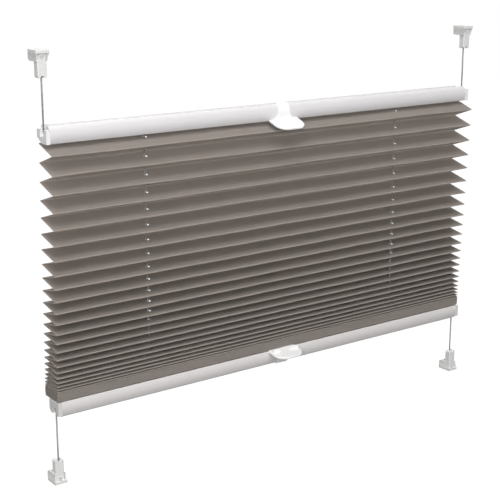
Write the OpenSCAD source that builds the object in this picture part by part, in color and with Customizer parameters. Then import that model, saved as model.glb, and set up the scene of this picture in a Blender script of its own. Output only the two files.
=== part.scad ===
// Pleated blind held between two pairs of tension shoes.
// Two crossed guide cords run from shoe to shoe through both rails and the folded fabric.
// Origin: on the upper mounting face, midway between the screw holes of the two upper brackets.
// X runs along the rails, the front of the blind faces -Y, and +Z is up.

/* [Blind] */
// Length of both rails with their end caps
blind_w = 400; // [280:10:700]
// Height of the hanging fabric between the two rails
fabric_h = 185; // [150:5:260]
// Free cord between an upper shoe and the top rail
upper_cord = 34.4; // [20:0.2:80]
// Free cord between the bottom rail and a lower shoe
lower_cord = 34.4; // [20:0.2:80]

/* [Rails] */
// Depth of a rail from front to back
rail_d = 14; // [13.5:0.5:18]
// Height of a rail's hollow body
rail_h = 9.8; // [9.5:0.1:14]
// Wall of the extruded rails
rail_wall = 1.2; // [1:0.1:1.4]
// Wall in front of and behind the cord channel
side_wall = 2.2; // [2:0.1:2.6]
// Radius of a rail's bulging front
front_r = 11; // [10.5:0.5:30]
// Height of the foremost line of that bulge above the fabric side
front_z = 5.6; // [4:0.1:6]
// Height of the rounded lip along the top rail's front edge
top_lip_h = 2.2; // [1:0.1:2.6]
// Height of the rounded lip along the bottom rail's front edge
low_lip_h = 1.6; // [1:0.1:2.6]
// Flat land behind the lip's round nose
lip_land = 1.4; // [1.2:0.1:2]
// Height of the flange along the top rail's back edge
flange_h = 2; // [0.6:0.1:3]
// Radius of the lip's back edge
lip_edge_r = 0.8; // [0.4:0.1:1]
// Large bevel on a rail's lower back edge
bevel = 2.2; // [1:0.1:2.4]
// Small bevel on a rail's upper back edge
small_bevel = 0.6; // [0.2:0.1:1]
// Width of the slot that the fabric leaves the rail by
slot_w = 5; // [4.4:0.2:6]
// Width of the chamber that holds the fabric's strip
chamber_w = 9; // [8:0.2:9.4]
// Height of that chamber
chamber_h = 2.2; // [2:0.1:2.4]

/* [End caps] */
// Thickness of an end cap outside the rail
cap_t = 3; // [2.6:0.1:5]
// Length of the prongs that hold a cap in the rail
prong_l = 8; // [4:0.5:14]
// Clearance of the prongs in the rail's channel
prong_gap = 0.1; // [0.05:0.05:0.2]
// Width of the open cord slot in a cap
slot_d = 5.8; // [5:0.2:7]
// Depth of the slanted cut at the lower back of a top cap
cut_d = 6.5; // [3:0.5:8]
// Height of that cut
cut_h = 4.2; // [2.6:0.1:4.5]
// Distance of a cord's free stretches inside the rails' ends
cord_recess = 1; // [0.8:0.1:1.5]

/* [Fabric] */
// Length of one pleat face from fold to fold
face = 20; // [17:0.5:24]
// Thickness of the fabric
sheet_t = 0.3; // [0.2:0.05:0.4]
// Number of pleats
pleats = 30; // [26:1:34]
// Number of pleats that hang open, the widest at the top
open_pleats = 23; // [18:1:25]
// Diameter of the cord holes in the pleats
hole_d = 3; // [2.4:0.1:3.6]
// Distance of each column of cord holes from the middle
column_x = 120; // [60:5:160]
// Distance of the holes' middle beside the cord that passes them
hole_shift = 0.6; // [0:0.1:0.7]
// Distance of the fabric's edges from the rails' ends
fabric_inset = 0.6; // [0:0.2:4]

/* [Fabric strips] */
// Thickness of a strip that locks the fabric in its rail
strip_t = 1.3; // [1:0.1:1.4]
// Clearance of a strip at each side of its chamber
strip_gap = 0.3; // [0.1:0.1:0.5]
// Clearance between fabric, strip and rail
layer_gap = 0.1; // [0.05:0.05:0.15]

/* [Cords] */
// Diameter of a guide cord
cord_d = 1.2; // [0.8:0.1:1.4]
// Bend radius of a cord at its centre line
cord_bend = 2.4; // [2.2:0.1:2.6]
// Gap between the two cords where they pass each other
cord_gap = 0.4; // [0.2:0.1:0.5]
// Radial clearance of a cord in a hole
cord_clear = 0.4; // [0.35:0.05:0.5]
// Distance of the cords' middle plane in front of the rails' middle plane
cord_forward = 0.6; // [0:0.1:0.8]

/* [Cord guides] */
// Outer diameter of a cord guide's barrel
guide_d = 4.4; // [3.8:0.1:5]
// Flange diameter of a cord guide
guide_flange_d = 5.8; // [5.4:0.1:6]
// Flange thickness of a cord guide
guide_flange_t = 0.8; // [0.5:0.1:1]
// Bevel round the mouth of a cord guide
guide_mouth = 0.4; // [0.2:0.1:0.5]
// Clearance of a guide's barrel in its hole
guide_gap = 0.05; // [0.02:0.01:0.1]

/* [Shoes] */
// Height from the mounting face to the cord end of a shoe
shoe_h = 18.5; // [15:0.5:30]
// Width of a shoe's body
shoe_w = 6.8; // [6:0.2:8]
// Depth of a shoe's body
shoe_d = 5.6; // [5.4:0.2:6]
// Bevel at the cord end of a shoe
shoe_bevel = 1.2; // [0.4:0.1:1.6]
// Width of the round notch at the cord end
notch_w = 2.8; // [2.4:0.1:3.2]
// Radius of a shoe's upright edges
shoe_edge_r = 0.8; // [0.4:0.1:1.2]

/* [Brackets] */
// Width of a bracket at its mounting face
bracket_w = 10; // [9.6:0.2:14]
// Width of a bracket at its cheeks' ends
cheek_w = 8.4; // [8.2:0.1:9.4]
// Thickness of a bracket's mounting plate
plate_t = 2; // [1.5:0.1:3]
// Height of a bracket from its mounting face
bracket_h = 7.6; // [6:0.1:9]
// Distance from the cords' middle plane to a bracket's front edge
bracket_front = 4.4; // [4.2:0.1:6]
// Distance that the cheeks' front edges lean back from there
cheek_back = 1.4; // [0.6:0.1:2]
// Height of a bracket's back edge below its rounded boss
boss_h = 3; // [2.6:0.1:4]
// Distance from the cords' middle plane back to the fixing screw
screw_back = 6.8; // [6.6:0.1:12]
// Radius of the rounded back end of a bracket
bracket_end_r = 4; // [3.4:0.1:4.5]
// Diameter of the fixing screw hole
screw_hole_d = 3.4; // [3:0.1:3.6]
// Diameter of the fixing screw's countersink and of the bore above it
countersink_d = 5.8; // [4.5:0.1:6]
// Clearance of a shoe between the cheeks and off the plate
shoe_gap = 0.1; // [0.05:0.05:0.2]

/* [Clamp screws] */
// Diameter of the screw that clamps a cord in its shoe
clamp_d = 2.6; // [2:0.1:3]
// Height of the clamp screw's axis above the mounting face
clamp_z = 4; // [3.7:0.1:4.4]
// Length that the clamp screw stands out of the shoe's front
clamp_proud = 0.5; // [0.2:0.1:1]
// Width of the clamp screw's driver slot
driver_w = 0.5; // [0.3:0.1:0.8]
// Depth of the driver slot
driver_depth = 0.6; // [0.3:0.1:1]
// Length of cord past the clamp screw's axis
cord_tail = 1.2; // [0.8:0.1:1.4]

/* [Handles] */
// Width of a handle's upright
handle_w = 10; // [8:0.5:14]
// Thickness of a handle's upright
handle_t = 1; // [0.8:0.1:2]
// Radius of the flare from the upright to the finger tongue
flare_r = 6; // [4:0.5:8]
// Width of the finger tongue
tongue_w = 27; // [23:0.5:34]
// Reach of the finger tongue in front of the upright
tongue_reach = 15.5; // [12:0.5:24]
// Corner radius of the tongue's outline
tongue_r = 9; // [6:0.5:11]
// Thickness of the finger tongue
tongue_t = 1.8; // [1.4:0.1:3]
// Reach of the tongue past the rail's fabric side
tongue_drop = 0.8; // [0.4:0.1:1]
// Width of the lugs across the back of the lower handle's tongue
lug_w = 6.5; // [4:0.5:7]
// Thickness of these lugs
lug_t = 1.4; // [1:0.1:2]
// Reach of the lugs past the bottom rail's fabric side
lug_h = 1.9; // [1:0.1:2.4]
// Slope of the upper handle's tongue below the level
top_tilt = 20; // [0:1:25]
// Slope of the lower handle's tongue below the level
low_tilt = 11; // [0:1:20]
// Clearance of a handle on its rail
handle_gap = 0.05; // [0.02:0.01:0.1]
// Angle that the handle's hook wraps round the lip
hook_angle = 65; // [30:5:70]

/* [Hidden] */
$fn = 48;
eps = 0.01;
left = -1;
right = 1;
up = 1;
down = -1;

// Depth of the planes that the rails and each cord lie in
cord_mid_y = -screw_back;
rail_y = cord_mid_y + cord_forward;
cord_pitch = cord_d + cord_gap;
function cord_y(side) = cord_mid_y + side * cord_pitch / 2;
cord_hole_d = cord_d + 2 * cord_clear;

// Heights of the rails' fabric sides and of the mounting faces
top_rail_z = -shoe_h - upper_cord - rail_h;
low_rail_z = top_rail_z - fabric_h;
base_z = low_rail_z - rail_h - lower_cord - shoe_h;

// A rail's cord channel and fabric chamber, in heights above its fabric side
channel_z = 2 * rail_wall + chamber_h;
channel_h = rail_h - rail_wall - channel_z;
channel_w = rail_d - 2 * side_wall;
run_z = channel_z + channel_h / 2;
rail_l = blind_w - 2 * cap_t;
cord_end_x = blind_w / 2 - cord_recess;

// Centre line of a rail's bulging front, and the lip's nose that runs on from it without a step
front_y = front_r - rail_d / 2;
nose_angle = asin((rail_h - front_z) / front_r);
function nose_r(lip_h) = lip_h / (1 - sin(nose_angle));
function nose_at(lip_h) =
    [front_y, front_z] + (front_r - nose_r(lip_h)) * [-cos(nose_angle), sin(nose_angle)];

// Heights of the folded fabric's layers above the rail's fabric side
hem_z = rail_wall + layer_gap + sheet_t / 2;
strip_z = rail_wall + 2 * layer_gap + sheet_t;
strip_w = chamber_w - 2 * strip_gap;
hem_y = slot_w / 2 - layer_gap - sheet_t;
flat_gap = layer_gap + sheet_t / 2;

// Pitch of the pleats from top to bottom: evenly closing, then a closed stack
closed_pitch = 3 * sheet_t;
last_drop = 2 * sheet_t;
pleat_room = fabric_h - 2 * flat_gap - last_drop;
open_pitch = closed_pitch + 2 * (pleat_room - pleats * closed_pitch) / (open_pleats + 1);
function pitch(i) = closed_pitch + (open_pitch - closed_pitch) * max(0, 1 - i / open_pleats);
function fallen(i) = i == 0 ? 0 : fallen(i - 1) + pitch(i - 1);
function half_depth(i) = sqrt(face * face - pow(pitch(i) / 2, 2)) / 2;

// Folds from top to bottom as [depth, height], even numbers at the back and odd ones at the front
fold_count = 2 * pleats + 1;
function fold_y(k) = (k % 2 == 0 ? 1 : -1) * half_depth(min(floor(k / 2), pleats - 1));
function fold_z(k) =
    -flat_gap - fallen(floor(k / 2)) - (k % 2 == 1 ? pitch(floor(k / 2)) / 2 : 0)
    - (k == fold_count - 1 ? last_drop : 0);
folds = [for (k = [0 : fold_count - 1]) [fold_y(k), fold_z(k)]];
sheet_path = concat(
    [[hem_y, folds[0][1]]],
    folds,
    [[hem_y, folds[fold_count - 1][1]]]);

// Slope of the face before point k of the sheet, and the half height of its cut edge
function face_slope(k) =
    abs((sheet_path[k][1] - sheet_path[k - 1][1]) / (sheet_path[k][0] - sheet_path[k - 1][0]));
function edge_half(k) = sheet_t / 2 * sqrt(1 + pow(face_slope(k), 2));
// The blunt outside of a fold, and the single corner inside it
function fold_outside(k) = [
    sheet_path[k] + [0, edge_half(k)],
    sheet_path[k] - [0, edge_half(k + 1)]];
function fold_reach(k) =
    (edge_half(k) + edge_half(k + 1)) / (face_slope(k) + face_slope(k + 1));
function fold_inside(k) = [
    sheet_path[k] + [
        -sign(sheet_path[k][0]) * fold_reach(k),
        fold_reach(k) * face_slope(k) - edge_half(k)]];
// One side of the sheet: the outside at back folds and the inside at front ones, or the reverse
function sheet_side(back_outside) = [
    for (k = [1 : fold_count])
        for (p = (sheet_path[k][0] > 0) == back_outside ? fold_outside(k) : fold_inside(k)) p];
function reversed(list) = [for (k = [len(list) - 1 : -1 : 0]) list[k]];

// The sheet's end in a rail: a neck up through the slot and a flat hem under the strip
half_t = sheet_t / 2;
seam = [
    [hem_y - half_t, -flat_gap - half_t], [hem_y - half_t, hem_z - half_t],
    [-strip_w / 2, hem_z - half_t], [-strip_w / 2, hem_z + half_t],
    [hem_y + half_t, hem_z + half_t], [hem_y + half_t, -flat_gap + half_t]];
low_seam = [for (p = reversed(seam)) [p[0], -fabric_h - p[1]]];

white = "whitesmoke";
taupe = "rosybrown";
cord_grey = "dimgray";

// Extrudes a profile of depth and height along X, centred
module along_x(length) {
    translate([-length / 2, 0, 0]) rotate([90, 0, 90]) linear_extrude(length) children();
}

// Puts a rail's own shapes in place: heights count from its fabric side, away from the fabric
module at_rail(dir) {
    translate([0, rail_y, dir == up ? top_rail_z : low_rail_z])
        mirror([0, 0, dir == up ? 0 : 1]) children();
}

// Puts a shoe's own shapes in place: heights count from its mounting face, towards the blind
module at_shoe(side, dir) {
    translate([side * cord_end_x, cord_mid_y, dir == up ? 0 : base_z])
        mirror([0, 0, dir == up ? 1 : 0]) children();
}

// Rail seen from its end before rounding: bevelled back, square front with its lip, back flange
module rail_outline(dir, lip_h) {
    fabric_bevel = dir == up ? bevel : small_bevel;
    outer_bevel = dir == up ? small_bevel : bevel;
    lip_back = nose_at(lip_h)[0] + lip_land;
    back = rail_d / 2;
    flange = [
        [back - outer_bevel - rail_wall, rail_h], [back - outer_bevel - rail_wall, rail_h + flange_h],
        [back - outer_bevel, rail_h + flange_h], [back - outer_bevel, rail_h]];
    polygon(concat(
        [[-back, 0], [-back, rail_h + lip_h], [lip_back, rail_h + lip_h], [lip_back, rail_h]],
        dir == up ? flange : [[back - outer_bevel, rail_h]],
        [[back, rail_h - outer_bevel], [back, fabric_bevel], [back - fabric_bevel, 0]]));
}

// What rounding takes off a corner at the origin whose edges run along +X and +Y
module corner_waste(r) {
    difference() {
        translate([-eps, -eps]) square(r + eps);
        translate([r, r]) circle(r);
    }
}

// What the bulging front and the lip's nose take off the square front
module front_waste(lip_h) {
    nose = nose_at(lip_h);
    difference() {
        translate([-rail_d / 2 - eps, -eps]) square([front_r, rail_h + eps]);
        translate([front_y, front_z]) circle(front_r);
    }
    difference() {
        translate([-rail_d / 2 - eps, rail_h]) square([nose[0] + rail_d / 2 + eps, lip_h + eps]);
        translate(nose) circle(nose_r(lip_h));
    }
}

module channel_outline(gap = 0) {
    translate([-channel_w / 2 + gap, channel_z + gap])
        square([channel_w - 2 * gap, channel_h - 2 * gap]);
}

module rail_section(dir, lip_h) {
    lip_back = nose_at(lip_h)[0] + lip_land;
    difference() {
        rail_outline(dir, lip_h);
        front_waste(lip_h);
        translate([lip_back, rail_h + lip_h]) rotate(180) corner_waste(lip_edge_r);
        channel_outline();
        translate([-chamber_w / 2, rail_wall]) square([chamber_w, chamber_h]);
        translate([-slot_w / 2, -eps]) square([slot_w, rail_wall + 2 * eps]);
    }
}

// Extruded rail with a hole for the cord guide at each column
module rail(dir, lip_h) {
    color(white) at_rail(dir) difference() {
        along_x(rail_l) rail_section(dir, lip_h);
        for (side = [left, right])
            translate([side * column_x, cord_y(-side) - rail_y, channel_z - rail_wall - eps])
                cylinder(d = guide_d + 2 * guide_gap, h = rail_wall + 2 * eps);
    }
}

// End cap seen from the side: flat front, and a slanted cut or bevel at its back edges
module cap_outline(dir) {
    back = rail_d / 2;
    fabric_cut = dir == up ? [cut_d, cut_h] : [small_bevel, small_bevel];
    outer_bevel = dir == up ? small_bevel : bevel;
    polygon([
        [-back, 0], [-back, rail_h], [back - outer_bevel, rail_h], [back, rail_h - outer_bevel],
        [back, fabric_cut[1]], [back - fabric_cut[0], 0]]);
}

// Moulded end cap: plate with a cord slot that opens away from the fabric, two prongs in the channel
module end_cap(side, dir) {
    slot_y = cord_mid_y - rail_y - slot_d / 2;
    color(white) at_rail(dir) difference() {
        union() {
            translate([side * (blind_w / 2 - cap_t / 2), 0, 0]) along_x(cap_t) cap_outline(dir);
            translate([side * (rail_l / 2 - prong_l / 2 + eps / 2), 0, 0])
                along_x(prong_l + eps) channel_outline(prong_gap);
        }
        translate([side * (blind_w / 2 - cap_t / 2 - prong_l / 2), 0, 0])
            along_x(cap_t + prong_l + 4 * eps)
                translate([slot_y, channel_z]) square([slot_d, rail_h]);
    }
}

// Front view of a handle's upright, flaring to the width of its tongue at the fabric's side
module upright_outline(lip_h) {
    translate([-handle_w / 2, -tongue_drop])
        square([handle_w, rail_h + lip_h + 2 * handle_t + tongue_drop]);
    difference() {
        translate([-handle_w / 2 - flare_r, -tongue_drop])
            square([handle_w + 2 * flare_r, flare_r + tongue_t - tongue_drop]);
        for (side = [left, right])
            translate([side * (handle_w / 2 + flare_r), flare_r + tongue_t - tongue_drop])
                circle(flare_r);
    }
    translate([-tongue_w / 2 + tongue_t, -tongue_drop]) square([tongue_w - 2 * tongue_t, tongue_t]);
}

// Quarter of the plane that starts at an angle
module quarter(angle) {
    rotate(angle) square(2 * front_r);
}

module ring(r, t) {
    difference() {
        circle(r + t);
        circle(r);
    }
}

// Side view of a handle's upright: a leaf along the rail's bulging front and over the lip's nose
module leaf_outline(lip_h) {
    nose = nose_at(lip_h);
    turn = 180 - nose_angle;
    overlap = 2;
    intersection() {
        translate([front_y, front_z]) intersection() {
            ring(front_r + handle_gap, handle_t);
            quarter(turn - overlap);
        }
        translate([-rail_d, -tongue_drop]) square(2 * rail_d);
    }
    translate(nose) intersection() {
        ring(nose_r(lip_h) + handle_gap, handle_t);
        quarter(turn - hook_angle);
        quarter(turn - 90);
    }
}

// Plan of the finger tongue, reaching towards -Y from the upright
module tongue_outline(inset) {
    corner_x = tongue_w / 2 - tongue_r;
    intersection() {
        hull() for (side = [left, right]) {
            translate([side * corner_x, -tongue_reach + tongue_r]) circle(tongue_r - inset);
            translate([side * corner_x, tongue_r]) circle(tongue_r - inset);
        }
        translate([-tongue_w / 2, -tongue_reach]) square([tongue_w, tongue_reach]);
    }
}

// Rounded lug across the back of a tongue, at each side of the upright
module tongue_lug() {
    along_x(lug_w) {
        translate([-lug_t / 2, -lug_h + lug_t / 2]) square([lug_t, lug_h]);
        translate([0, -lug_h + lug_t / 2]) circle(lug_t / 2);
    }
}

// Clip-on handle: leaf on the rail's front with its hook over the lip, and a sloping finger tongue
module handle(dir, lip_h, tilt) {
    rim = tongue_t / 4;
    root_z = tongue_t / 2 - tongue_drop;
    root_y = front_y - sqrt(pow(front_r + handle_gap + handle_t / 2, 2) - pow(front_z - root_z, 2));
    lug_y = -half_depth(pleats - 1) - sheet_t - lug_t / 2;
    color(white) at_rail(dir) difference() {
        union() {
            intersection() {
                along_x(tongue_w) leaf_outline(lip_h);
                rotate([90, 0, 0]) linear_extrude(4 * rail_d, center = true) upright_outline(lip_h);
            }
            translate([0, root_y, root_z])
                rotate([dir * tilt, 0, 0]) hull() {
                    translate([0, 0, -tongue_t / 2]) linear_extrude(tongue_t) tongue_outline(rim);
                    translate([0, 0, -tongue_t / 2 + rim])
                        linear_extrude(tongue_t - 2 * rim) tongue_outline(0);
                }
            if (dir == down) for (side = [left, right])
                translate([side * (handle_w / 2 + lug_w / 2 + lug_t / 2), lug_y, 0]) tongue_lug();
        }
        along_x(tongue_w + 2 * eps) translate([front_y, front_z]) intersection() {
            circle(front_r + handle_gap);
            translate([-2 * front_r, -2 * front_r]) square([2 * front_r, 2 * front_r]);
        }
    }
}

// One folded sheet with a row of cord holes through every pleat at each column,
// and with its hems cut short of the end caps
module pleated_fabric() {
    color(taupe) difference() {
        translate([0, rail_y, top_rail_z]) along_x(blind_w - 2 * fabric_inset)
            polygon(concat(seam, sheet_side(true), low_seam, reversed(sheet_side(false))));
        for (side = [left, right])
            translate([side * column_x + hole_shift, cord_y(-side), low_rail_z - rail_h])
                cylinder(d = hole_d, h = fabric_h + 2 * rail_h);
        for (side = [left, right], dir = [up, down])
            at_rail(dir) translate([side * (rail_l / 2 - prong_gap + cap_t), 0, rail_h / 2 - layer_gap])
                cube([2 * cap_t, rail_d, rail_h], center = true);
    }
}

// Stiff strip that lies on the hem in the rail's chamber
module fabric_strip(dir) {
    color(white) at_rail(dir) difference() {
        translate([0, 0, strip_z])
            along_x(rail_l - 2 * prong_gap) translate([-strip_w / 2, 0]) square([strip_w, strip_t]);
        for (side = [left, right])
            translate([side * column_x, cord_y(-side) - rail_y, 0])
                cylinder(d = hole_d, h = rail_h);
    }
}

// Flanged bush that leads a cord out of the channel
module cord_guide(side, dir) {
    color(white) at_rail(dir) translate([side * column_x, cord_y(-side) - rail_y, 0]) difference() {
        union() {
            translate([0, 0, channel_z - rail_wall]) cylinder(d = guide_d, h = rail_wall + eps);
            translate([0, 0, channel_z]) cylinder(d = guide_flange_d, h = guide_flange_t);
        }
        cylinder(d = cord_hole_d, h = rail_h);
        translate([0, 0, channel_z + guide_flange_t - guide_mouth])
            cylinder(d1 = cord_hole_d, d2 = cord_hole_d + 2 * guide_mouth + 2 * eps, h = guide_mouth + eps);
    }
}

// Quarter bend in the XZ plane, starting at the given quadrant
module cord_corner(x, z, quadrant) {
    translate([x, 0, z]) rotate([90, 0, 0]) rotate(90 * quadrant)
        rotate_extrude(angle = 90) translate([cord_bend, 0]) circle(d = cord_d);
}

module cord_upright(x, z_from, z_to) {
    translate([x, 0, z_to]) cylinder(d = cord_d, h = z_from - z_to);
}

module cord_run(x_from, x_to, z) {
    translate([x_from, 0, z]) rotate([0, 90, 0]) cylinder(d = cord_d, h = x_to - x_from);
}

// Cord of one side: shoe, along the top rail to the far column, down the pleats, and back
module guide_cord(side) {
    top_run = top_rail_z + run_z;
    low_run = low_rail_z - run_z;
    end_x = -cord_end_x;
    tip = clamp_z - cord_tail;
    color(cord_grey) translate([0, cord_y(side), 0]) mirror([side == right ? 1 : 0, 0, 0]) {
        cord_upright(end_x, -tip, top_run + cord_bend);
        cord_corner(end_x + cord_bend, top_run + cord_bend, 2);
        cord_run(end_x + cord_bend, column_x - cord_bend, top_run);
        cord_corner(column_x - cord_bend, top_run - cord_bend, 0);
        cord_upright(column_x, top_run - cord_bend, low_run + cord_bend);
        cord_corner(column_x - cord_bend, low_run + cord_bend, 3);
        cord_run(end_x + cord_bend, column_x - cord_bend, low_run);
        cord_corner(end_x + cord_bend, low_run - cord_bend, 1);
        cord_upright(end_x, low_run - cord_bend, base_z + tip);
    }
}

// Square with rounded corners, centred
module rounded_square(w, d, r) {
    square([w - 2 * r, d], center = true);
    square([w, d - 2 * r], center = true);
    for (x = [left, right], y = [left, right])
        translate([x * (w / 2 - r), y * (d / 2 - r)]) circle(r);
}

// Front view of a shoe's body, bevelled at its cord end
module shoe_front() {
    polygon([
        [-shoe_w / 2, 0], [shoe_w / 2, 0],
        [shoe_w / 2, shoe_h - shoe_bevel], [shoe_w / 2 - shoe_bevel, shoe_h],
        [-shoe_w / 2 + shoe_bevel, shoe_h], [-shoe_w / 2, shoe_h - shoe_bevel]]);
}

// Tension shoe: body with a cord bore, a notch at the cord end and the clamp screw's hole
module shoe(side, dir) {
    y = cord_y(side) - cord_mid_y;
    foot = plate_t + shoe_gap;
    color(white) at_shoe(side, dir) difference() {
        intersection() {
            translate([0, 0, foot]) linear_extrude(shoe_h) rounded_square(shoe_w, shoe_d, shoe_edge_r);
            rotate([90, 0, 0]) linear_extrude(2 * shoe_d, center = true) shoe_front();
        }
        translate([0, y, clamp_z - cord_tail]) cylinder(d = cord_hole_d, h = shoe_h);
        translate([0, 0, shoe_h]) rotate([90, 0, 0]) cylinder(d = notch_w, h = 2 * shoe_d, center = true);
        translate([0, y, clamp_z]) rotate([90, 0, 0]) cylinder(d = clamp_d, h = shoe_d);
    }
}

// Plan of a bracket with its rounded screw end
module bracket_plan() {
    back = screw_back + bracket_end_r;
    corner_x = bracket_w / 2 - bracket_end_r;
    translate([-bracket_w / 2, -bracket_front]) square([bracket_w, bracket_front + screw_back]);
    translate([-corner_x, 0]) square([2 * corner_x, back]);
    for (x = [left, right]) translate([x * corner_x, screw_back]) circle(bracket_end_r);
}

// Radius of a concave flare that steps in by a width over a height
function sweep_r(step, height) = (step * step + height * height) / (2 * step);

// Bracket seen from the side: cheeks that flare to the front edge, and a round-backed boss
module bracket_side() {
    back = screw_back + bracket_end_r;
    r = sweep_r(cheek_back, bracket_h - plate_t);
    difference() {
        translate([-bracket_front, 0]) square([bracket_front + back, bracket_h]);
        translate([-bracket_front + cheek_back - r, bracket_h]) circle(r, $fn = 96);
        translate([back, bracket_h]) rotate(180) corner_waste(bracket_h - boss_h);
    }
}

// Bracket seen from the front: flared from the cheeks' ends to the mounting plate
module bracket_front_view() {
    r = sweep_r((bracket_w - cheek_w) / 2, bracket_h - plate_t);
    difference() {
        translate([-bracket_w / 2, 0]) square([bracket_w, bracket_h]);
        for (x = [left, right]) translate([x * (cheek_w / 2 + r), bracket_h]) circle(r, $fn = 180);
    }
}

// Screwed bracket: plate, two cheeks that hold the shoe, and a boss with a sunk screw hole behind
module bracket(side, dir) {
    pocket_w = shoe_w + 2 * shoe_gap;
    pocket_back = shoe_d / 2 + shoe_gap;
    sink_depth = (countersink_d - screw_hole_d) / 2;
    color(white) at_shoe(side, dir) difference() {
        intersection() {
            linear_extrude(bracket_h) bracket_plan();
            along_x(2 * bracket_w) bracket_side();
            rotate([90, 0, 0]) linear_extrude(4 * screw_back, center = true) bracket_front_view();
        }
        translate([-pocket_w / 2, -bracket_front - eps, plate_t])
            cube([pocket_w, bracket_front + pocket_back + eps, bracket_h]);
        translate([0, screw_back, -eps]) cylinder(d = screw_hole_d, h = bracket_h);
        translate([0, screw_back, boss_h - sink_depth])
            cylinder(d1 = screw_hole_d, d2 = countersink_d, h = sink_depth);
        translate([0, screw_back, boss_h]) cylinder(d = countersink_d, h = bracket_h);
    }
}

// Slotted screws that pinch the cords in their shoes
module clamp_screws() {
    color("silver") for (side = [left, right], dir = [up, down]) at_shoe(side, dir) {
        tip_y = cord_y(side) - cord_mid_y - cord_d / 2;
        head_y = -shoe_d / 2 - clamp_proud;
        difference() {
            translate([0, tip_y, clamp_z]) rotate([90, 0, 0]) cylinder(d = clamp_d, h = tip_y - head_y);
            translate([-clamp_d / 2, head_y - eps, clamp_z - driver_w / 2])
                cube([clamp_d, driver_depth + eps, driver_w]);
        }
    }
}

rail(up, top_lip_h);  // top_rail
rail(down, low_lip_h);  // bottom_rail
end_cap(left, up);  // top_left_cap
end_cap(right, up);  // top_right_cap
end_cap(left, down);  // bottom_left_cap
end_cap(right, down);  // bottom_right_cap
handle(up, top_lip_h, top_tilt);  // top_handle
handle(down, low_lip_h, low_tilt);  // bottom_handle
pleated_fabric();
fabric_strip(up);  // top_strip
fabric_strip(down);  // bottom_strip
guide_cord(left);  // left_cord
guide_cord(right);  // right_cord
cord_guide(left, up);  // top_left_guide
cord_guide(right, up);  // top_right_guide
cord_guide(left, down);  // bottom_left_guide
cord_guide(right, down);  // bottom_right_guide
shoe(left, up);  // top_left_shoe
shoe(right, up);  // top_right_shoe
shoe(left, down);  // bottom_left_shoe
shoe(right, down);  // bottom_right_shoe
bracket(left, up);  // top_left_bracket
bracket(right, up);  // top_right_bracket
bracket(left, down);  // bottom_left_bracket
bracket(right, down);  // bottom_right_bracket
clamp_screws();
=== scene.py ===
import math
import random
from collections import namedtuple

import bpy
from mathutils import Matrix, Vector


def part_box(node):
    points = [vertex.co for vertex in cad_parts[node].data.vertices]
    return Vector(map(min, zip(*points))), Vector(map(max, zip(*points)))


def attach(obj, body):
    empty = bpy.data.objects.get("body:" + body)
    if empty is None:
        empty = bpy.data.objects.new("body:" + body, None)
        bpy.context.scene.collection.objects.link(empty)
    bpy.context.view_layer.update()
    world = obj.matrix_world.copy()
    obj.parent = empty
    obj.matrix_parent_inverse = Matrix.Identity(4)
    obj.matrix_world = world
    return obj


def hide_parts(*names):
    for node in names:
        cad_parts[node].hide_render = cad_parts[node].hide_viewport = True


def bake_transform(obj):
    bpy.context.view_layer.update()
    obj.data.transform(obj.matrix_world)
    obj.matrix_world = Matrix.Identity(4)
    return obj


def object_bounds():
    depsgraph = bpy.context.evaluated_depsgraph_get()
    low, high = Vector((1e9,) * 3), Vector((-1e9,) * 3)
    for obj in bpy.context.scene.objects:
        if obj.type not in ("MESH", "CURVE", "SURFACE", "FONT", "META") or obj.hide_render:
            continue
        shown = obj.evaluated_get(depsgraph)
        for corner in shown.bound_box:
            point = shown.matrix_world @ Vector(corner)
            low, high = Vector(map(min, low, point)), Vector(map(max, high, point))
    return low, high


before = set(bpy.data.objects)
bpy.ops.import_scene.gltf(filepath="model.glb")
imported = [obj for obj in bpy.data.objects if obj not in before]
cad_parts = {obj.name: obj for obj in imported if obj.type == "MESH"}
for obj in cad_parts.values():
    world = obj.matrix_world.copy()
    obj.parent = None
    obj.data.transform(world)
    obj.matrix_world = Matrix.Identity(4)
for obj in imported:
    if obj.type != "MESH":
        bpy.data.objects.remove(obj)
cad_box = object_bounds()

MM = 0.001
TINY = 1e-6
SIDES = ("left", "right")
ENDS = ("top", "bottom")

# Camera, in the photograph's 500 pixel frame
IMAGE_SIZE = 500
FOCAL_PIXELS = 1165.8
SENSOR_WIDTH = 36.0
CAMERA_AZIMUTH = -35.98
CAMERA_ELEVATION = 14.61
CAMERA_DISTANCE = 0.9073
CAMERA_X = -0.0271
CAMERA_DROP = 0.1002
CLIP_START = 0.01
CLIP_END = 100

# Heights and depths that the frame gives
top_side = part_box("top_rail")[0].z
low_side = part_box("bottom_rail")[1].z
rail_mid_y = (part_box("top_rail")[0].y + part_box("top_rail")[1].y) / 2
fabric_height = top_side - low_side
fabric_half_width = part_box("pleated_fabric")[1].x

# Cord route
CORD_DIAMETER = 1.2 * MM
CORD_BEND = 2.4 * MM
CORD_RUN_HEIGHT = 6.6 * MM
CORD_SIDES = 12
BEND_STEPS = 8

# Folded sheet: pleats and creases
FACE = 20 * MM
SHEET_THICKNESS = 0.3 * MM
PLEATS = 30
OPEN_PLEATS = 23
CLOSED_PITCH = 0.9 * MM
LAST_DROP = 0.6 * MM
FLAT_GAP = 0.25 * MM
CREASE_RADIUS = 0.22 * MM
CREASE_STEPS = 5
CREASE_SUPPORT = 0.3 * MM
LEAN_FORWARD = 3.5 * MM
LEAN_BACK = 4.2 * MM

# Folded sheet: hems in the rails
HEM_HEIGHT = 1.45 * MM
HEM_FRONT = -4.2 * MM
HEM_HALF_WIDTH = 196.9 * MM
HEM_ROWS = 7
HEM_HOLE_ROW = 2
NECK = 2.1 * MM
NECK_ROUND = 0.15 * MM

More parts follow.
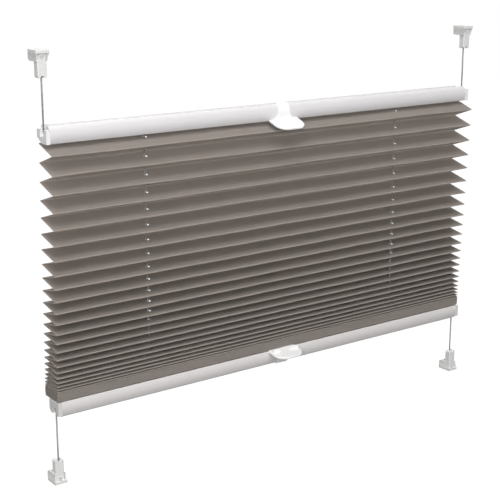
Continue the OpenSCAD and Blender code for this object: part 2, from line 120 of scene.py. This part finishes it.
# Folded sheet: cord holes, each in a square patch of the mesh
HOLE_RADIUS = 1.5 * MM
HOLE_STEPS = 16
HOLE_SHIFT = 0.6 * MM
PATCH = 2.5 * MM
PATCH_MID = -0.6 * MM
PATCH_ROWS = (PATCH_MID + PATCH, PATCH_MID, PATCH_MID - PATCH)
PATCH_RING = ((-1, -1), (-1, 0), (-1, 1), (0, 1), (1, 1), (1, 0), (1, -1), (0, -1))
COLUMN_STEP = 12 * MM

# Folded sheet: unevenness along the folds
WAVE_SHARE = 0.018
WAVE_LENGTHS = (0.31, 0.17, 0.083)
WAVE_SEED = 11

# Colours
WHITE_PAINT = (0.74, 0.723, 0.733)
# Lower rail: a darker, warmer copy of the rail paint, as painted shade
LOWER_RAIL_PAINTED_SHADE = (0.66, 0.637, 0.628)
WHITE_PLASTIC = (0.88, 0.87, 0.865)
# Lower caps: a darker copy of the cap plastic, as painted shade
LOWER_CAP_PAINTED_SHADE = (0.7, 0.68, 0.667)
HANDLE_WHITE = (0.94, 0.935, 0.935)
SHOE_WHITE = (0.78, 0.775, 0.762)
STRIP_WHITE = (0.78, 0.78, 0.78)
TAUPE = (0.315, 0.288, 0.265)
TAUPE_GLOW = (0.9, 0.843, 0.8)
CORD_GREY = (0.33, 0.33, 0.335)
ZINC = (0.62, 0.62, 0.63)

# Surfaces: shades are the factors of a colour at the two ends of its pattern
CLOUD_SCALE = 60.0
CLOUD_SHADES = (0.965, 1.02)
GLOSS_SPREAD = 0.05
GRAIN_STRENGTH = 0.35
THREAD_PITCH = 0.8 * MM
THREAD_DEPTH = 0.06 * MM
THREAD_STRENGTH = 0.3
SLUB_STRETCH = (30, 900, 1)
SLUB_SHADES = (0.9, 1.1)
GLOW_SHADES = (0.95, 1.05)
LET_THROUGH = 0.42
STRAND_SIZE = 0.45 * MM
STRAND_DEPTH = 0.1 * MM
STRAND_STRENGTH = 0.5
# Strand middles lighter and the gaps between strands darker: painted shade
STRAND_PAINTED_SHADE = (1.15, 0.7)
BRUSH_STRETCH = (300, 300, 6000)
BRUSH_ROUGHNESS = (0.22, 0.42)

# Floor and light
FLOOR_DROP = 0.6
FLOOR_SIZE = 12.0
FLOOR_GREY = (0.2, 0.2, 0.2)
FLOOR_ROUGHNESS = 0.9
FLOOR_GLOW = 0.96
WORLD_LEVEL = 0.12
WHITE = (1, 1, 1, 1)
LAMP_AIM = Vector((0, 0, -0.15))


# Camera
def make_camera():
    azimuth = math.radians(CAMERA_AZIMUTH)
    elevation = math.radians(CAMERA_ELEVATION)
    forward = Vector((
        -math.sin(azimuth) * math.cos(elevation),
        math.cos(azimuth) * math.cos(elevation),
        -math.sin(elevation)))
    data = bpy.data.cameras.new("camera")
    data.sensor_width = SENSOR_WIDTH
    data.lens = FOCAL_PIXELS / IMAGE_SIZE * SENSOR_WIDTH
    data.clip_start = CLIP_START
    data.clip_end = CLIP_END
    camera = bpy.data.objects.new("camera", data)
    target = Vector((CAMERA_X, rail_mid_y, top_side - CAMERA_DROP))
    camera.location = target - forward * CAMERA_DISTANCE
    camera.rotation_mode = "QUATERNION"
    camera.rotation_quaternion = forward.to_track_quat("-Z", "Y")
    bpy.context.scene.collection.objects.link(camera)
    bpy.context.scene.camera = camera


make_camera()


# Meshes
def mesh_object(name, points, faces, material):
    mesh = bpy.data.meshes.new(name)
    mesh.from_pydata([tuple(p) for p in points], [], faces)
    mesh.validate()
    mesh.polygons.foreach_set("use_smooth", [True] * len(mesh.polygons))
    mesh.materials.append(material)
    obj = bpy.data.objects.new(name, mesh)
    bpy.context.scene.collection.objects.link(obj)
    return obj


def tube(name, path, radius, material):
    """A closed round tube along a path that lies in a plane of constant Y."""
    points, faces = [], []
    across = Vector((0, 1, 0))
    for i, point in enumerate(path):
        before, after = path[max(i - 1, 0)], path[min(i + 1, len(path) - 1)]
        ahead = (after - before).normalized()
        side = ahead.cross(across)
        for k in range(CORD_SIDES):
            turn = 2 * math.pi * k / CORD_SIDES
            points.append(point + radius * (math.cos(turn) * side + math.sin(turn) * across))
    for i in range(len(path) - 1):
        for k in range(CORD_SIDES):
            a = i * CORD_SIDES + k
            b = i * CORD_SIDES + (k + 1) % CORD_SIDES
            faces.append((a, a + CORD_SIDES, b + CORD_SIDES, b))
    last = (len(path) - 1) * CORD_SIDES
    faces.append(tuple(range(CORD_SIDES)))
    faces.append(tuple(last + k for k in reversed(range(CORD_SIDES))))
    return mesh_object(name, points, faces, material)


# Shader nodes
def new_material(name, colour, roughness, **sockets):
    material = bpy.data.materials.new(name)
    material.use_nodes = True
    shader = material.node_tree.nodes["Principled BSDF"]
    shader.inputs["Base Color"].default_value = (*colour, 1)
    shader.inputs["Roughness"].default_value = roughness
    for socket, value in sockets.items():
        shader.inputs[socket.replace("_", " ")].default_value = value
    return material, shader


def add_node(material, kind, **settings):
    """A new node, whose settings are sockets where it has them and properties otherwise."""
    node = material.node_tree.nodes.new(kind)
    for key, value in settings.items():
        if key in node.inputs:
            node.inputs[key].default_value = value
        else:
            setattr(node, key, value)
    return node


def link(material, source, target):
    material.node_tree.links.new(source, target)


def place_on(material, coordinates):
    return add_node(material, "ShaderNodeTexCoord").outputs[coordinates]


def stretched(material, vector, factors):
    node = add_node(material, "ShaderNodeVectorMath", operation="MULTIPLY")
    node.inputs[1].default_value = factors
    link(material, vector, node.inputs[0])
    return node.outputs[0]


def noise(material, vector, scale, detail=2.0):
    node = add_node(material, "ShaderNodeTexNoise", Scale=scale, Detail=detail)
    link(material, vector, node.inputs["Vector"])
    return node.outputs["Fac"]


def between(material, share, low, high):
    """A value that runs from low to high as share runs from 0.3 to 0.7."""
    limits = {"From Min": 0.3, "From Max": 0.7, "To Min": low, "To Max": high}
    node = add_node(material, "ShaderNodeMapRange", **limits)
    link(material, share, node.inputs["Value"])
    return node.outputs[0]


def shades(material, share, colour, factors):
    """The colour times the first factor where share is 0, and times the second where it is 1."""
    node = add_node(material, "ShaderNodeMix", data_type="RGBA")
    link(material, share, node.inputs[0])
    # A Mix node's colours are its inputs 6 and 7 and its output 2
    for socket, factor in zip((6, 7), factors):
        node.inputs[socket].default_value = (*(c * factor for c in colour), 1)
    return node.outputs[2]


def add_bump(material, shader, height, distance, strength):
    bump = add_node(material, "ShaderNodeBump", Strength=strength, Distance=distance)
    link(material, height, bump.inputs["Height"])
    link(material, bump.outputs["Normal"], shader.inputs["Normal"])


# Materials
def moulded(name, colour, roughness, grain, depth):
    """Painted or moulded surface: fine grain, faint cloudy shade and uneven gloss."""
    material, shader = new_material(name, colour, roughness)
    place = place_on(material, "Object")
    cloud = noise(material, place, CLOUD_SCALE)
    fine = noise(material, place, 1 / grain, 3.0)
    gloss = between(material, cloud, roughness - GLOSS_SPREAD, roughness + GLOSS_SPREAD)
    link(material, shades(material, cloud, colour, CLOUD_SHADES), shader.inputs["Base Color"])
    link(material, gloss, shader.inputs["Roughness"])
    add_bump(material, shader, fine, depth, GRAIN_STRENGTH)
    return material


def thread_waves(material, place):
    """The height of a plain weave: threads both ways, crossing over and under."""
    split = add_node(material, "ShaderNodeSeparateXYZ")
    link(material, place, split.inputs[0])
    weave = add_node(material, "ShaderNodeMath", operation="MULTIPLY")
    for axis, crossing in zip("XY", weave.inputs):
        count = add_node(material, "ShaderNodeMath", operation="MULTIPLY")
        count.inputs[1].default_value = 2 * math.pi / THREAD_PITCH
        link(material, split.outputs[axis], count.inputs[0])
        wave = add_node(material, "ShaderNodeMath", operation="SINE")
        link(material, count.outputs[0], wave.inputs[0])
        link(material, wave.outputs[0], crossing)
    return weave.outputs[0]


def woven(name, colour, glow):
    """Plain weave that follows the sheet: threads both ways, slubs, and light that shines through."""
    material, shader = new_material(name, colour, 0.86, Sheen_Weight=0.12, Sheen_Roughness=0.45)
    place = place_on(material, "UV")
    slub = noise(material, stretched(material, place, SLUB_STRETCH), 1.0, 3.0)
    link(material, shades(material, slub, colour, SLUB_SHADES), shader.inputs["Base Color"])
    add_bump(material, shader, thread_waves(material, place), THREAD_DEPTH, THREAD_STRENGTH)
    through = add_node(material, "ShaderNodeBsdfTranslucent")
    link(material, shades(material, slub, glow, GLOW_SHADES), through.inputs["Color"])
    both = add_node(material, "ShaderNodeMixShader")
    both.inputs[0].default_value = LET_THROUGH
    link(material, shader.outputs[0], both.inputs[1])
    link(material, through.outputs[0], both.inputs[2])
    link(material, both.outputs[0], material.node_tree.nodes["Material Output"].inputs["Surface"])
    return material


def braided(name, colour):
    """Braid of a thin cord: small strands, lighter in their middles, with painted shade that darkens the
    gaps between them.
    """
    material, shader = new_material(name, colour, 0.6, Sheen_Weight=0.2)
    strands = add_node(material, "ShaderNodeTexVoronoi", Scale=1 / STRAND_SIZE)
    link(material, place_on(material, "Object"), strands.inputs["Vector"])
    share = between(material, strands.outputs["Distance"], 0.0, 1.0)
    link(material, shades(material, share, colour, STRAND_PAINTED_SHADE), shader.inputs["Base Color"])
    add_bump(material, shader, strands.outputs["Distance"], STRAND_DEPTH, STRAND_STRENGTH)
    return material


def brushed(name, colour):
    """Plated metal with fine turning marks."""
    material, shader = new_material(name, colour, 0.3, Metallic=1.0)
    lines = noise(material, stretched(material, place_on(material, "Object"), BRUSH_STRETCH), 1.0)
    link(material, between(material, lines, *BRUSH_ROUGHNESS), shader.inputs["Roughness"])
    return material


paint = moulded("rail_paint", WHITE_PAINT, 0.42, 0.5 * MM, 0.02 * MM)
# The lower rail and its caps get darker copies of the same paint and plastic: painted shade
painted_shade_rail_paint = moulded("rail_paint_painted_shade", LOWER_RAIL_PAINTED_SHADE, 0.42, 0.5 * MM, 0.02 * MM)
cap_plastic = moulded("cap_plastic", WHITE_PLASTIC, 0.5, 0.25 * MM, 0.02 * MM)
painted_shade_cap_plastic = moulded("painted_shade_cap_plastic", LOWER_CAP_PAINTED_SHADE, 0.5, 0.25 * MM, 0.02 * MM)
handle_plastic = moulded("handle_plastic", HANDLE_WHITE, 0.32, 0.8 * MM, 0.015 * MM)
shoe_plastic = moulded("shoe_plastic", SHOE_WHITE, 0.4, 0.4 * MM, 0.02 * MM)
strip_plastic = moulded("strip_plastic", STRIP_WHITE, 0.5, 0.6 * MM, 0.02 * MM)
fabric = woven("pleat_fabric", TAUPE, TAUPE_GLOW)
braid = braided("cord_braid", CORD_GREY)
steel = brushed("screw_steel", ZINC)


def look_of(node):
    # Bottom parts take the darker copies, which are painted shade
    low = node.startswith("bottom")
    if "cap" in node:
        return painted_shade_cap_plastic if low else cap_plastic
    if "handle" in node:
        return handle_plastic
    if "shoe" in node or "bracket" in node:
        return shoe_plastic
    if "strip" in node or "guide" in node:
        return strip_plastic
    if node == "clamp_screws":
        return steel
    return painted_shade_rail_paint if low else paint


for node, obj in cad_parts.items():
    obj.data.materials.clear()
    obj.data.materials.append(look_of(node))


# Cords
def rail_run(y, shoe_x, column_x, height, away):
    """A cord's way through a rail: in from the shoe's side, along, and out to the pleats."""
    s = 1 if column_x > shoe_x else -1
    corner = Vector((shoe_x + s * CORD_BEND, y, height + away * CORD_BEND))
    far = Vector((column_x - s * CORD_BEND, y, height - away * CORD_BEND))
    first, second = [], []
    for i in range(BEND_STEPS + 1):
        turn = math.pi / 2 * i / BEND_STEPS
        first.append(corner + CORD_BEND * Vector((-s * math.cos(turn), 0, -away * math.sin(turn))))
        second.append(far + CORD_BEND * Vector((s * math.sin(turn), 0, away * math.cos(turn))))
    return first + second


def add_cord(name, path, node):
    piece = tube(name, path, CORD_DIAMETER / 2, braid)
    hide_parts(node)
    return piece


def make_cords():
    """Both cords, each in three pieces from either end: free, in the rail, and through half the pleats."""
    middle = (top_side + low_side) / 2
    for side in SIDES:
        node = side + "_cord"
        low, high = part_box(node)
        y = (low.y + high.y) / 2
        shoe_x = low.x + CORD_DIAMETER / 2
        column_x = high.x - CORD_DIAMETER / 2
        if side == "right":
            shoe_x, column_x = column_x, shoe_x
        tops = {"top": high.z, "bottom": low.z}
        for end in ENDS:
            away = 1 if end == "top" else -1
            rail = "upper_rail" if end == "top" else "lower_rail"
            run_z = (top_side if end == "top" else low_side) + away * CORD_RUN_HEIGHT
            run = rail_run(y, shoe_x, column_x, run_z, away)
            shoe_end = Vector((shoe_x, y, tops[end]))
            middle_end = Vector((column_x, y, middle))
            free = add_cord(f"{side}_cord_{end}_free", [shoe_end, run[0]], node)
            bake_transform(free)
            hidden = add_cord(f"{side}_cord_{end}_run", run, node)
            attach(hidden, rail)
            column = add_cord(f"{side}_cord_{end}_column", [run[-1], middle_end], node)
            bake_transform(column)


make_cords()


# Folded sheet: its section from hem to hem
def pleat_pitches():
    """Height of each pleat, from the open ones at the top to the closed stack at the bottom."""
    room = fabric_height - 2 * FLAT_GAP - LAST_DROP
    open_pitch = CLOSED_PITCH + 2 * (room - PLEATS * CLOSED_PITCH) / (OPEN_PLEATS + 1)
    shares = [max(0, 1 - i / OPEN_PLEATS) for i in range(PLEATS)]
    return [CLOSED_PITCH + (open_pitch - CLOSED_PITCH) * share for share in shares]


def lean(height):
    """How far the pleats hang behind the rails' middle: forward at the top, back at the bottom."""
    return -LEAN_FORWARD - (LEAN_FORWARD + LEAN_BACK) * height / fabric_height


def crease_centres(pitches):
    """Centres of the creases as (depth, height from the top rail), back folds first and last."""
    centres, height = [], -FLAT_GAP
    for i, pitch in enumerate(pitches):
        reach = math.sqrt(FACE ** 2 - (pitch / 2) ** 2) / 2 - CREASE_RADIUS
        back = height - (CREASE_RADIUS if i == 0 else 0)
        front = height - pitch / 2
        centres.append(Vector((lean(back) + reach, back)))
        centres.append(Vector((lean(front) - reach, front)))
        height -= pitch
    centres.append(Vector((centres[-2].x, height - LAST_DROP + CREASE_RADIUS)))
    return centres


def leaving_normal(here, there):
    """Unit normal, pointing down, of the sheet's straight stretch between two creases."""
    way = there - here
    share = 2 * CREASE_RADIUS / way.length
    along = way.normalized()
    sign = 1 if along.x > 0 else -1
    down = sign * Vector((along.y, -along.x))
    return share * along + math.sqrt(1 - share ** 2) * down


def hem_rows(top, fold):
    """Rows of a hem, from its edge in the rail to the neck where it leaves the rail."""
    base = 0 if top else -fabric_height
    up = 1 if top else -1
    flat = [(HEM_FRONT, HEM_HEIGHT)]
    flat += [(y, HEM_HEIGHT) for y in reversed(PATCH_ROWS)]
    flat += [(NECK, HEM_HEIGHT - NECK_ROUND), (NECK, 0.0), (NECK + NECK_ROUND, -FLAT_GAP)]
    return [(y, base + up * z, fold) for y, z in flat]


def crease_rows(centre, arrive, leave, fold):
    """Rows round a crease, from the normal that it starts with to the one that it leaves with."""
    first_turn = math.atan2(arrive.y, arrive.x)
    last_turn = math.atan2(leave.y, leave.x)
    if fold % 2 == 1:
        last_turn += 2 * math.pi
    rows = []
    for i in range(CREASE_STEPS):
        turn = first_turn + (last_turn - first_turn) * i / (CREASE_STEPS - 1)
        y = centre.x + CREASE_RADIUS * math.cos(turn)
        z = centre.y + CREASE_RADIUS * math.sin(turn)
        rows.append((y, z, fold))
    return rows


def face_rows(start, end, fold):
    """Rows of the flat face after a fold, with the holes' patch in its middle."""
    to_front = end.x < start.x
    patch = PATCH_ROWS if to_front else PATCH_ROWS[::-1]
    support = -CREASE_SUPPORT if to_front else CREASE_SUPPORT
    depths = [start.x + support, (start.x + patch[0]) / 2]
    depths += patch
    depths += [(patch[-1] + end.x) / 2, end.x - support]
    rows = []
    for y in depths:
        share = (y - start.x) / (end.x - start.x)
        rows.append((y, start.y + share * (end.y - start.y), fold + share))
    return rows


def sheet_rows(pitches):
    """Rows of the sheet as (depth, height, fold number), and the rows that holes centre on."""
    centres = crease_centres(pitches)
    rows = hem_rows(True, 0)
    hole_rows = [HEM_HOLE_ROW]
    arrive = Vector((0, 1))
    for k, centre in enumerate(centres[:-1]):
        leave = leaving_normal(centre, centres[k + 1])
        rows += crease_rows(centre, arrive, leave, k)
        face = face_rows(centre + CREASE_RADIUS * leave, centres[k + 1] - CREASE_RADIUS * leave, k)
        rows += face
        hole_rows.append(len(rows) - 1 - len(face) // 2)
        arrive = -leave
    last = len(centres) - 1
    rows += crease_rows(centres[last], arrive, Vector((0, -1)), last)
    rows += reversed(hem_rows(False, last))
    hole_rows.append(len(rows) - 1 - HEM_HOLE_ROW)
    return rows, hole_rows


# Folded sheet: its mesh
Folds = namedtuple("Folds", "rows hole_rows columns hole_xs pitches lengths waves")


class Waves:
    """Small unevenness of each fold along its length, the same on every run."""

    def __init__(self, folds):
        draw = random.Random(WAVE_SEED)
        self.phases = [[draw.uniform(0, 2 * math.pi) for _ in WAVE_LENGTHS] for _ in range(folds)]

    def on_fold(self, number, x):
        waves = zip(WAVE_LENGTHS, self.phases[number])
        return sum(math.sin(2 * math.pi * x / length + phase) for length, phase in waves)

    def at(self, fold, x):
        """The unevenness at x, shared between two folds on the face that joins them."""
        low = min(int(fold), len(self.phases) - 2)
        here = self.on_fold(low, x)
        return here + (self.on_fold(low + 1, x) - here) * (fold - low)


def sheet_columns():
    """Places across the sheet, with three at each column of holes and one at the hems' ends."""
    column_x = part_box("left_cord")[1].x - CORD_DIAMETER / 2
    hole_xs = (-column_x + HOLE_SHIFT, column_x + HOLE_SHIFT)
    marks = [-fabric_half_width, -HEM_HALF_WIDTH]
    for x in hole_xs:
        marks += [x - PATCH, x, x + PATCH]
    marks += [HEM_HALF_WIDTH, fabric_half_width]
    columns = [marks[0]]
    for a, b in zip(marks, marks[1:]):
        steps = max(1, round((b - a) / COLUMN_STEP))
        columns += [a + (b - a) * i / steps for i in range(1, steps + 1)]
    return columns, hole_xs


def lay_folds():
    pitches = pleat_pitches()
    rows, hole_rows = sheet_rows(pitches)
    columns, hole_xs = sheet_columns()
    lengths = [0.0]
    for a, b in zip(rows, rows[1:]):
        lengths.append(lengths[-1] + math.hypot(b[0] - a[0], b[1] - a[1]))
    return Folds(rows, hole_rows, columns, hole_xs, pitches, lengths, Waves(2 * PLEATS + 1))


def in_hem(row, folds):
    return row < HEM_ROWS or row >= len(folds.rows) - HEM_ROWS


def grid_points(folds, first, last):
    """Points and weave coordinates of the rows from first to last, and each point's number."""
    points, uvs, index = [], [], {}
    for i in range(first, last + 1):
        depth, height, fold = folds.rows[i]
        pitch = folds.pitches[min(int(fold) // 2, PLEATS - 1)]
        for j, x in enumerate(folds.columns):
            lift = 0 if in_hem(i, folds) else WAVE_SHARE * pitch * folds.waves.at(fold, x) / 2
            index[i, j] = len(points)
            points.append((x, rail_mid_y + depth, top_side + height + lift))
            uvs.append((x, folds.lengths[i]))
    return points, uvs, index


def grid_faces(folds, first, last, index, holes):
    """Faces between the rows, less the holes' patches and what would lie past the hems' ends."""
    cut = {(i + a, j + b) for i, j in holes for a in (-1, 0) for b in (-1, 0)}
    faces = []
    for i in range(first, last):
        hem = in_hem(i, folds) and in_hem(i + 1, folds)
        for j, (a, b) in enumerate(zip(folds.columns, folds.columns[1:])):
            outside = max(abs(a), abs(b)) > HEM_HALF_WIDTH + TINY
            if (i, j) in cut or (hem and outside):
                continue
            faces.append((index[i, j], index[i, j + 1], index[i + 1, j + 1], index[i + 1, j]))
    return faces


def cord_depth(x):
    """Depth of the cord that goes down the column at x."""
    low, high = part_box("left_cord" if x > 0 else "right_cord")
    return (low.y + high.y) / 2


def add_hole(points, faces, uvs, ring, x):
    """A hole in the patch inside a ring of eight points, round as seen along the cord."""
    centre_y = cord_depth(x)
    corner = Vector(points[ring[0]])
    edge_x = Vector(points[ring[2]]) - corner
    edge_y = Vector(points[ring[6]]) - corner
    u0, v0 = uvs[ring[0]]
    u_span, v_span = uvs[ring[2]][0] - u0, uvs[ring[6]][1] - v0
    to_back = 1 if edge_y.y > 0 else -1
    rim = []
    for n in range(HOLE_STEPS):
        turn = 2 * math.pi * n / HOLE_STEPS + math.pi / 4
        at_x = x - HOLE_RADIUS * math.cos(turn)
        at_y = centre_y - to_back * HOLE_RADIUS * math.sin(turn)
        a = (at_x - corner.x) / edge_x.x
        b = (at_y - corner.y) / edge_y.y
        rim.append(len(points))
        points.append(tuple(corner + a * edge_x + b * edge_y))
        uvs.append((u0 + a * u_span, v0 + b * v_span))
    step = HOLE_STEPS // len(ring)
    for n in range(len(ring)):
        following = (n + 1) % len(ring)
        arc = [rim[(n * step + m) % HOLE_STEPS] for m in range(step, -1, -1)]
        faces.append((ring[n], ring[following], *arc))


def make_sheet(name, folds, first, last):
    """One stretch of the sheet, from row first to row last."""
    hole_columns = []
    for j, x in enumerate(folds.columns):
        if min(abs(x - h) for h in folds.hole_xs) < TINY:
            hole_columns.append(j)
    holes = [(i, j) for i in folds.hole_rows for j in hole_columns]
    points, uvs, index = grid_points(folds, first, last)
    faces = grid_faces(folds, first, last, index, holes)
    for i, j in holes:
        if first < i < last:
            ring = [index[i + a, j + b] for a, b in PATCH_RING]
            add_hole(points, faces, uvs, ring, folds.columns[j])
    used = sorted({v for f in faces for v in f})
    renumber = {v: n for n, v in enumerate(used)}
    faces = [tuple(renumber[v] for v in f) for f in faces]
    obj = mesh_object(name, [points[v] for v in used], faces, fabric)
    layer = obj.data.uv_layers.new(name="weave")
    for loop in obj.data.loops:
        layer.data[loop.index].uv = uvs[used[loop.vertex_index]]
    solid = obj.modifiers.new("thickness", "SOLIDIFY")
    solid.thickness = SHEET_THICKNESS
    solid.offset = 0
    obj.modifiers.new("normals", "WEIGHTED_NORMAL")
    return obj


def middle_row(rows):
    """The row on a back crease that lies nearest to half the fabric's height."""
    creases = []
    for i, (depth, _, fold) in enumerate(rows):
        if depth > 0 and float(fold).is_integer() and fold % 2 == 0:
            creases.append(i)
    return min(creases, key=lambda i: abs(rows[i][1] + fabric_height / 2))


def make_fabric():
    """The sheet in two pieces, split at a back crease near half the fabric's height."""
    folds = lay_folds()
    split = middle_row(folds.rows)
    split_z = top_side + folds.rows[split][1]
    spans = {
        "upper_pleats": (0, split, "upper_rail", "fixings", top_side, split_z),
        "lower_pleats": (split, len(folds.rows) - 1, "fixings", "lower_rail", split_z, low_side)}
    for name, (first, last, above, below, start, end) in spans.items():
        piece = make_sheet(name, folds, first, last)
        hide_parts("pleated_fabric")
        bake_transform(piece)


make_fabric()


# Floor, background and light
def seen_rays(tree):
    """1 for rays that show the background: straight from the camera, mirrored or through glass."""
    path = tree.nodes.new("ShaderNodeLightPath")
    total = path.outputs["Is Camera Ray"]
    for kind in ("Is Glossy Ray", "Is Transmission Ray"):
        add = tree.nodes.new("ShaderNodeMath")
        add.operation = "ADD"
        add.use_clamp = True
        tree.links.new(total, add.inputs[0])
        tree.links.new(path.outputs[kind], add.inputs[1])
        total = add.outputs[0]
    return total


def make_floor():
    z = cad_box[0].z - FLOOR_DROP
    half = FLOOR_SIZE / 2
    corners = [(-half, -half, z), (half, -half, z), (half, half, z), (-half, half, z)]
    material, shader = new_material("floor", FLOOR_GREY, FLOOR_ROUGHNESS)
    shader.inputs["Emission Color"].default_value = WHITE
    lift = add_node(material, "ShaderNodeMath", operation="MULTIPLY")
    lift.inputs[1].default_value = FLOOR_GLOW
    link(material, seen_rays(material.node_tree), lift.inputs[0])
    link(material, lift.outputs[0], shader.inputs["Emission Strength"])
    mesh_object("floor", corners, [(0, 1, 2, 3)], material)


def make_world():
    """Weak light from all round, behind a background that is seen as white."""
    world = bpy.data.worlds.new("studio")
    bpy.context.scene.world = world
    world.use_nodes = True
    tree = world.node_tree
    light = tree.nodes["Background"]
    light.inputs["Color"].default_value = WHITE
    light.inputs["Strength"].default_value = WORLD_LEVEL
    white = tree.nodes.new("ShaderNodeBackground")
    white.inputs["Color"].default_value = WHITE
    mix = tree.nodes.new("ShaderNodeMixShader")
    tree.links.new(seen_rays(tree), mix.inputs[0])
    tree.links.new(light.outputs[0], mix.inputs[1])
    tree.links.new(white.outputs[0], mix.inputs[2])
    tree.links.new(mix.outputs[0], tree.nodes["World Output"].inputs["Surface"])


def add_lamp(name, place, size, power):
    data = bpy.data.lights.new(name, "AREA")
    data.shape = "SQUARE"
    data.size = size
    data.energy = power
    lamp = bpy.data.objects.new(name, data)
    lamp.location = place
    lamp.rotation_mode = "QUATERNION"
    lamp.rotation_quaternion = (LAMP_AIM - Vector(place)).to_track_quat("-Z", "Y")
    bpy.context.scene.collection.objects.link(lamp)


make_floor()
make_world()
add_lamp("key", (-0.45, -1.0, 1.5), 1.6, 31.0)
add_lamp("fill", (-0.95, -1.25, 0.3), 0.8, 14.0)
add_lamp("back", (0.4, 1.2, 1.3), 1.2, 10.0)
bpy.context.scene.view_settings.view_transform = "Standard"
